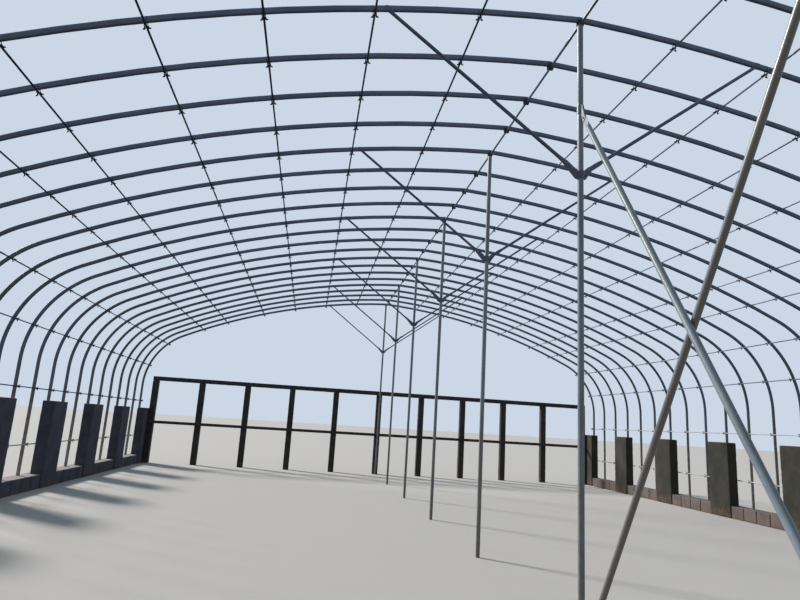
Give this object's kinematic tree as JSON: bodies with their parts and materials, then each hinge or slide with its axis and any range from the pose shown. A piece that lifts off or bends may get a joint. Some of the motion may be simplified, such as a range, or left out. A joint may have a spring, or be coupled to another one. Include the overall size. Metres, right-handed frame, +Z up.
{
  "type": "polytunnel greenhouse frame",
  "caption": "Bare steel arch frame of a polytunnel greenhouse with centre posts and struts, on low block curbs with masonry pillars, open at one end.",
  "frame": {"origin": "middle of the footprint, on the ground", "axes": "+X across the span to the right, +Y along the tunnel towards the end frame, +Z up"},
  "size_m": [15.186, 18.7, 5.633],
  "materials": {
    "hoop_steel": "dull galvanised tube, weathered dark",
    "tube_steel": "galvanised round tube",
    "post_steel": "light galvanised tube",
    "bracket_steel": "dark folded steel",
    "curb_block": "pale concrete block",
    "pillar_render": "mossy grey masonry",
    "end_concrete": "dark weathered concrete"
  },
  "bodies": {
    "root": {"brace_collars": "bracket_steel", "centre_posts": "post_steel", "cross_brace": "post_steel", "curb_left": "curb_block", "curb_right": "curb_block", "end_posts": "end_concrete", "end_rails": "end_concrete", "hoop_01": "hoop_steel", "hoop_02": "hoop_steel", "hoop_03": "hoop_steel", "hoop_04": "hoop_steel", "hoop_05": "hoop_steel", "hoop_06": "hoop_steel", "hoop_07": "hoop_steel", "hoop_08": "hoop_steel", "hoop_09": "hoop_steel", "hoop_10": "hoop_steel", "hoop_11": "hoop_steel", "hoop_12": "hoop_steel", "hoop_13": "hoop_steel", "hoop_14": "hoop_steel", "hoop_15": "hoop_steel", "hoop_16": "hoop_steel", "hoop_17": "hoop_steel", "hoop_18": "hoop_steel", "hoop_19": "hoop_steel", "hoop_20": "hoop_steel", "hoop_21": "hoop_steel", "hoop_22": "hoop_steel", "hoop_23": "hoop_steel", "hoop_24": "hoop_steel", "hoop_25": "hoop_steel", "low_rail_left": "tube_steel", "low_rail_right": "tube_steel", "pillars_left": "pillar_render", "pillars_right": "pillar_render", "post_collars": "bracket_steel", "post_struts_left": "hoop_steel", "post_struts_right": "hoop_steel", "ridge_clamps": "bracket_steel", "ridge_purlin": "tube_steel", "roof_purlins_left": "tube_steel", "roof_purlins_right": "tube_steel", "upper_rail_left": "tube_steel", "upper_rail_right": "tube_steel"}
  },
  "joints": []
}
